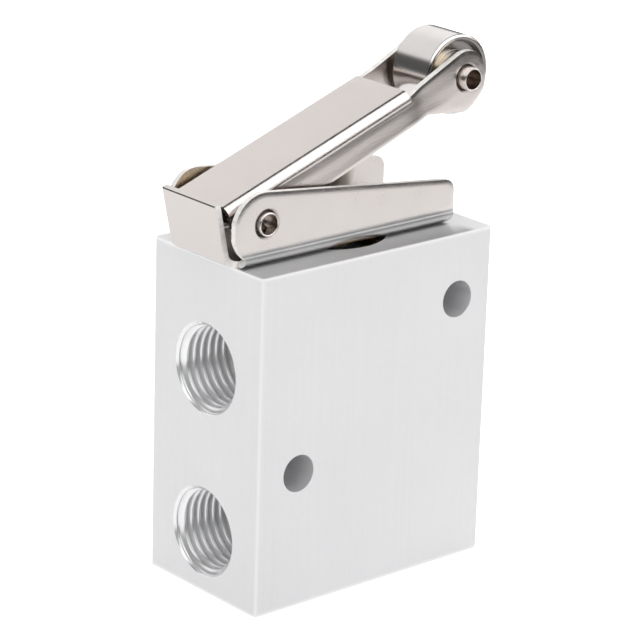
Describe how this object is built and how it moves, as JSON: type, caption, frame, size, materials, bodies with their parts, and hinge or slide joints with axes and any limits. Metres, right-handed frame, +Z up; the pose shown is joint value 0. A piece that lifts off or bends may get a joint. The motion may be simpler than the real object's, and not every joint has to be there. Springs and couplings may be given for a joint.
{
  "type": "roller lever air valve",
  "caption": "Roller lever operated 3/2 way pneumatic valve: ported aluminium block with a pressed steel bracket and a sprung lever that carries a steel roller.",
  "frame": {"origin": "centre of the block's bottom face, on the valve bore's axis", "axes": "+Z up along the valve bore; +X along the broad faces, away from the face with two ports; +Y square to the broad faces"},
  "size_m": [0.0516, 0.0242, 0.0766],
  "materials": {
    "block_aluminium": "clear anodised, fine matt grain",
    "bracket_nickel": "nickel plated pressed steel, satin",
    "lever_nickel": "nickel plated pressed steel, satin",
    "roller_steel": "ground and polished",
    "plunger_steel": "ground and polished",
    "pin_steel": "nickel plated, turned",
    "washer_steel": "plated",
    "spool_steel": "ground",
    "spring_steel": "drawn wire",
    "screw_steel": "zinc plated",
    "brass": "turned",
    "bush_bronze": "sintered",
    "cage_plastic": "moulded acetal",
    "seal_rubber": "nitrile rubber"
  },
  "bodies": {
    "housing": {"valve_body": "block_aluminium", "bottom_plug": "brass", "bottom_plug_seal": "seal_rubber", "supply_cage": "cage_plastic", "outlet_cage": "cage_plastic", "exhaust_cage": "cage_plastic", "lower_spool_seal": "seal_rubber", "middle_spool_seal": "seal_rubber", "upper_spool_seal": "seal_rubber", "return_spring": "spring_steel", "guide_bush": "brass", "guide_bush_seal": "seal_rubber", "plunger_wiper": "seal_rubber", "retaining_ring": "spring_steel", "lever_bracket": "bracket_nickel", "bracket_screws": "screw_steel", "bracket_screw_washers": "screw_steel", "pivot_pin": "pin_steel"},
    "lever": {"roller_lever": "lever_nickel", "roller_pin": "pin_steel", "roller_washer_front": "washer_steel", "roller_washer_rear": "washer_steel"},
    "roller": {"roller": "roller_steel", "roller_bush": "bush_bronze"},
    "plunger": {"plunger": "plunger_steel", "spool": "spool_steel"}
  },
  "joints": [
    {"name": "lever_pivot", "type": "hinge", "parent": "housing", "child": "lever", "pos_m": [-0.01755, 0, 0.0562], "axis": [0, 1, 0], "range_deg": [0, 11], "stiffness_Nm_per_rad": 0.5, "springref_deg": -11.46},
    {"name": "plunger_slide", "type": "slide", "parent": "housing", "child": "plunger", "axis": [0, 0, -1], "range_m": [0, 0.0035], "deforming": ["return_spring"]},
    {"name": "roller_spin", "type": "hinge", "parent": "lever", "child": "roller", "pos_m": [0.0209, 0, 0.07065], "axis": [0, 1, 0], "continuous": true}
  ],
  "couplings": [
    {"joint": "plunger_slide", "follows": "lever_pivot", "m_per_rad": 0.01796}
  ]
}
